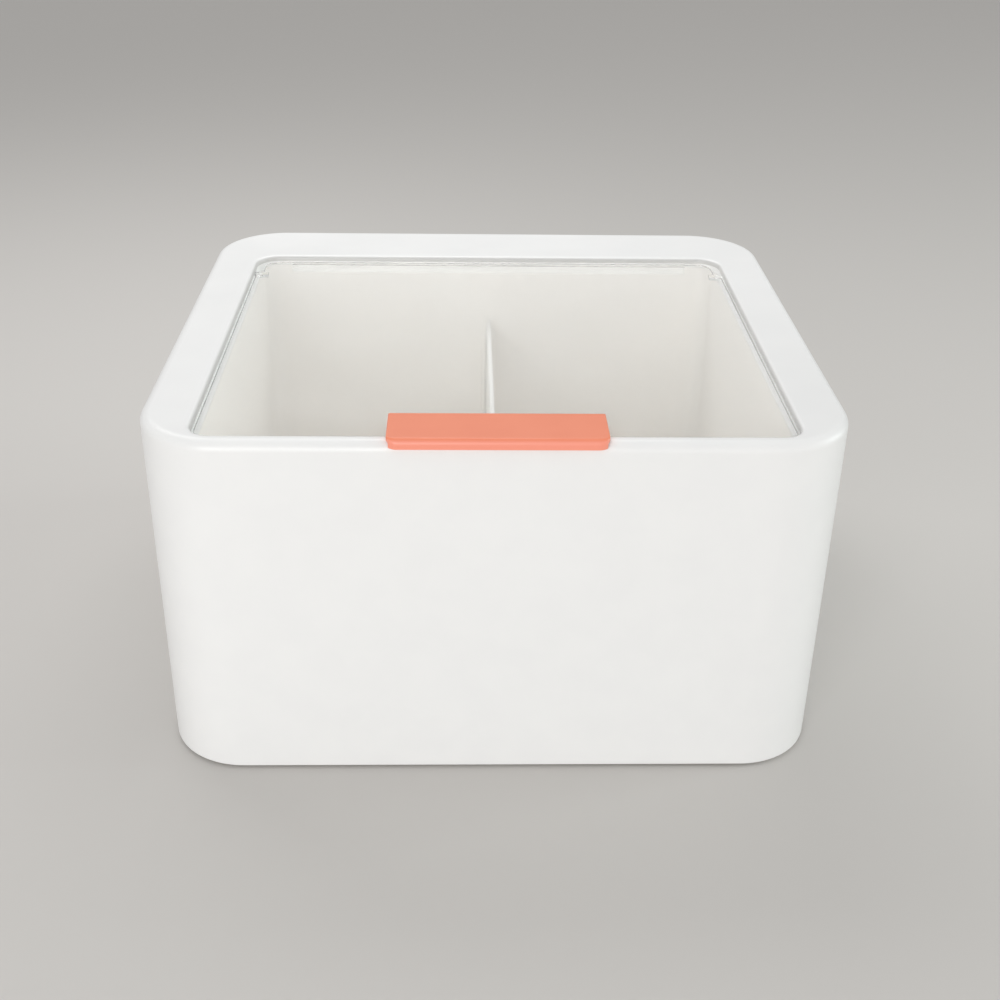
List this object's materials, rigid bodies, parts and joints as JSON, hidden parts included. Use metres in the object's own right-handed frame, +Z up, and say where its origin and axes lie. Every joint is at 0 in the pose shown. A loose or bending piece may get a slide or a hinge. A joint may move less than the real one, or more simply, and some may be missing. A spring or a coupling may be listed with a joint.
{
  "type": "hinged storage box",
  "caption": "Double-walled storage box with a clear hinged lid, a coral pull tab and an upright divider.",
  "frame": {"origin": "under the middle of the base, on the surface that the feet stand on", "axes": "+X to the right, +Y to the hinged rear, +Z up"},
  "size_m": [0.17, 0.1575, 0.0957],
  "materials": {
    "white_shell": "smooth satin white",
    "white_tub": "fine satin white",
    "clear_lid": "polished clear",
    "coral_tab": "satin coral",
    "foot_pad": "matte grey"
  },
  "bodies": {
    "box": {"outer_shell": "white_shell", "inner_tub": "white_tub", "divider": "white_tub", "base_cover": "white_shell", "foot_front_left": "foot_pad", "foot_front_right": "foot_pad", "foot_rear_left": "foot_pad", "foot_rear_right": "foot_pad"},
    "lid": {"lid": "clear_lid", "pull_tab": "coral_tab"}
  },
  "joints": [
    {"name": "lid_hinge", "type": "hinge", "parent": "box", "child": "lid", "pos_m": [0, 0.041, 0.09135], "axis": [-1, 0, 0], "range_deg": [0, 153]}
  ]
}
